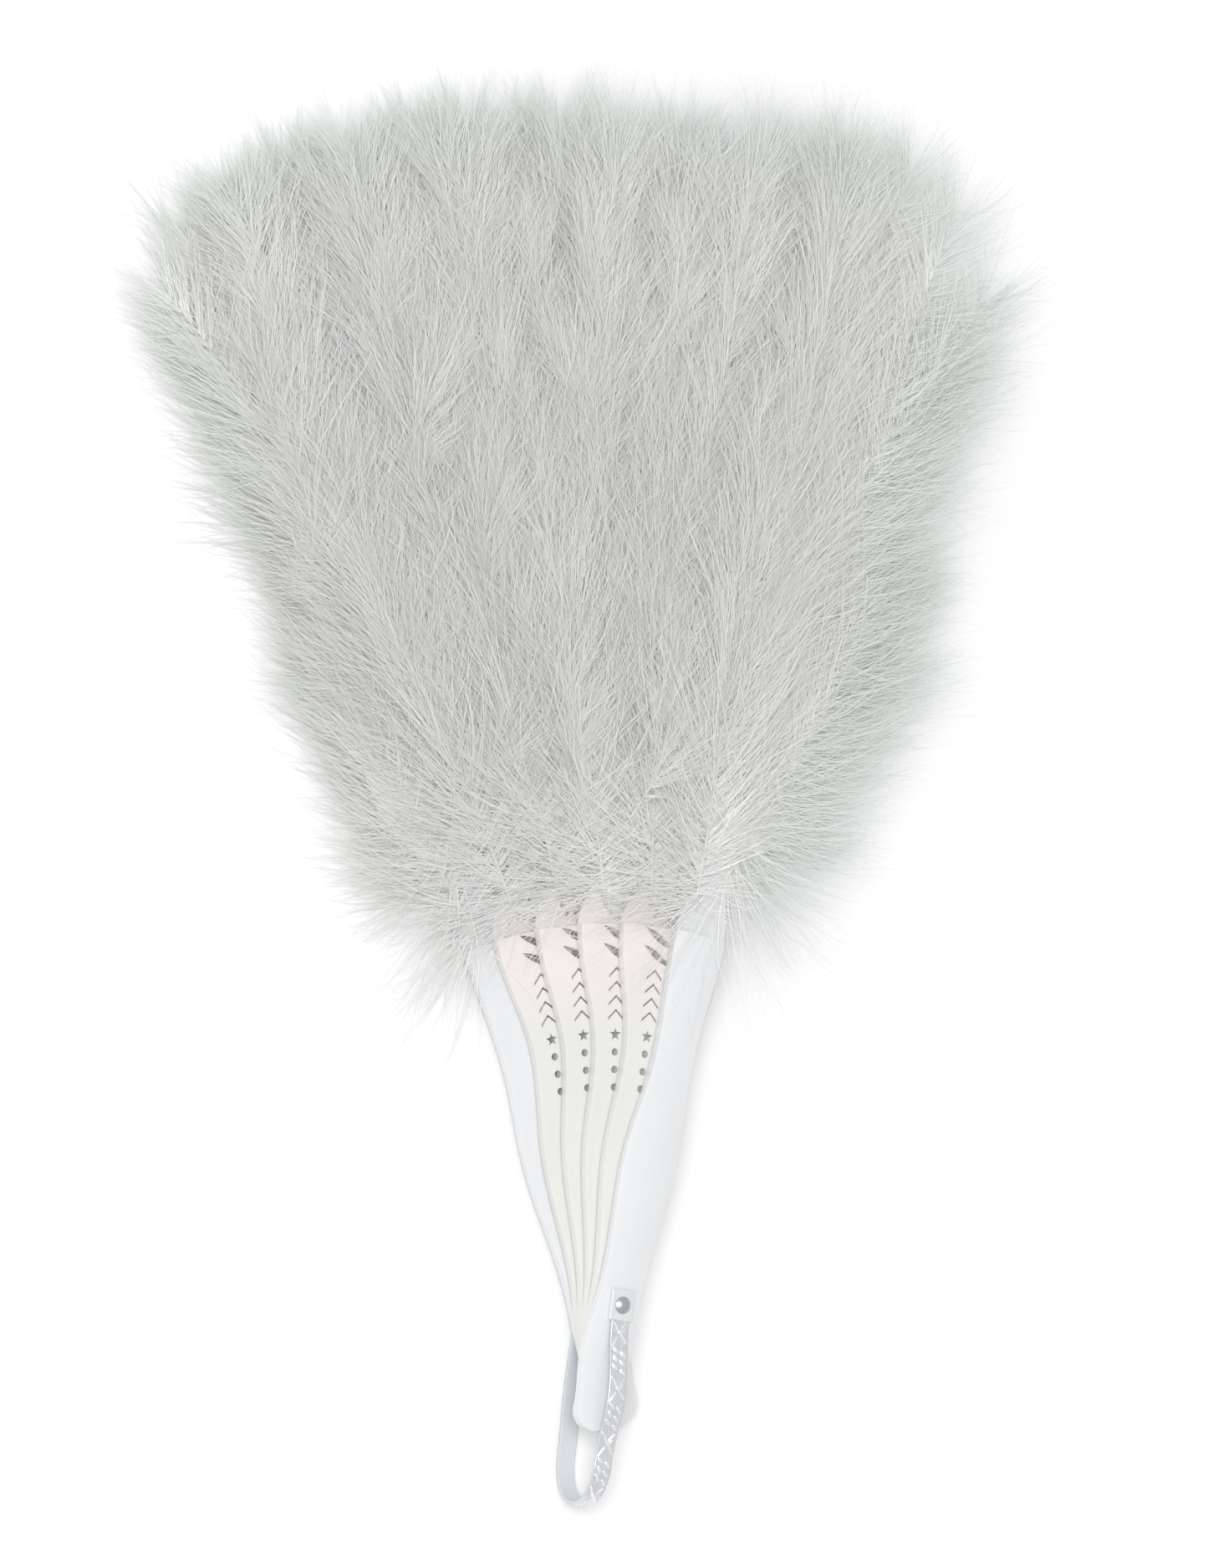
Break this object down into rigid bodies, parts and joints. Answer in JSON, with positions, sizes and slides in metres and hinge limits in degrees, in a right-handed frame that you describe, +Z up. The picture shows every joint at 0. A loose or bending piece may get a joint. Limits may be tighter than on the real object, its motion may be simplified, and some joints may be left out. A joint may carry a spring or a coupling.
{
  "type": "folding feather fan",
  "caption": "Folding hand fan with moulded sticks that turn on a rivet, a marabou plume on every stick and a swinging wrist loop.",
  "frame": {"origin": "on the rivet's axis, in the flat underside of its back cap, which is also the plane that the fan lies on", "axes": "+Z up along the rivet, from the back guard to the front guard; +Y along the fan's middle line, from the rivet to the plumes; +X to the right, seen from the front"},
  "size_m": [0.235, 0.3142, 0.0211],
  "materials": {
    "guard_plastic": "satin moulded, bluish white",
    "stick_plastic": "satin moulded, warm white",
    "feather": "downy white marabou",
    "quill": "horn-like, pale",
    "ribbon": "woven ribbon",
    "rivet_metal": "pressed steel",
    "loop_band": "embossed, metallised silver",
    "loop_tab": "metallised silver"
  },
  "bodies": {
    "back_guard": {"back_guard": "guard_plastic", "back_guard_plume": "feather", "back_guard_quills": "quill", "ribbon_1": "ribbon", "rivet_pin": "rivet_metal", "rivet_cap": "rivet_metal"},
    "stick_1": {"stick_1": "stick_plastic", "stick_1_plume": "feather", "stick_1_quills": "quill", "ribbon_2": "ribbon"},
    "stick_2": {"stick_2": "stick_plastic", "stick_2_plume": "feather", "stick_2_quills": "quill", "ribbon_3": "ribbon"},
    "stick_3": {"stick_3": "stick_plastic", "stick_3_plume": "feather", "stick_3_quills": "quill", "ribbon_4": "ribbon"},
    "stick_4": {"stick_4": "stick_plastic", "stick_4_plume": "feather", "stick_4_quills": "quill", "ribbon_5": "ribbon"},
    "front_guard": {"front_guard": "guard_plastic", "front_guard_plume": "feather", "front_guard_quills": "quill"},
    "wrist_loop": {"loop_strap": "loop_band", "loop_tab_front": "loop_tab", "loop_tab_back": "loop_tab"}
  },
  "joints": [
    {"name": "open_1", "type": "hinge", "parent": "back_guard", "child": "stick_1", "pos_m": [0, 0, 0], "axis": [0, 0, -1], "range_deg": [-6.2, 17.5]},
    {"name": "open_2", "type": "hinge", "parent": "stick_1", "child": "stick_2", "pos_m": [0, 0, 0], "axis": [0, 0, -1], "range_deg": [-6.2, 17.5]},
    {"name": "open_3", "type": "hinge", "parent": "stick_2", "child": "stick_3", "pos_m": [0, 0, 0], "axis": [0, 0, -1], "range_deg": [-6.2, 17.5]},
    {"name": "open_4", "type": "hinge", "parent": "stick_3", "child": "stick_4", "pos_m": [0, 0, 0], "axis": [0, 0, -1], "range_deg": [-6.2, 17.5]},
    {"name": "open_5", "type": "hinge", "parent": "stick_4", "child": "front_guard", "pos_m": [0, 0, 0], "axis": [0, 0, -1], "range_deg": [-6.2, 17.5]},
    {"name": "loop_swing", "type": "hinge", "parent": "back_guard", "child": "wrist_loop", "pos_m": [0, 0, 0], "axis": [0, 0, 1], "range_deg": [-55, 60]}
  ],
  "couplings": [
    {"joint": "open_2", "follows": "open_1", "ratio": 1},
    {"joint": "open_3", "follows": "open_1", "ratio": 1},
    {"joint": "open_4", "follows": "open_1", "ratio": 1},
    {"joint": "open_5", "follows": "open_1", "ratio": 1}
  ]
}
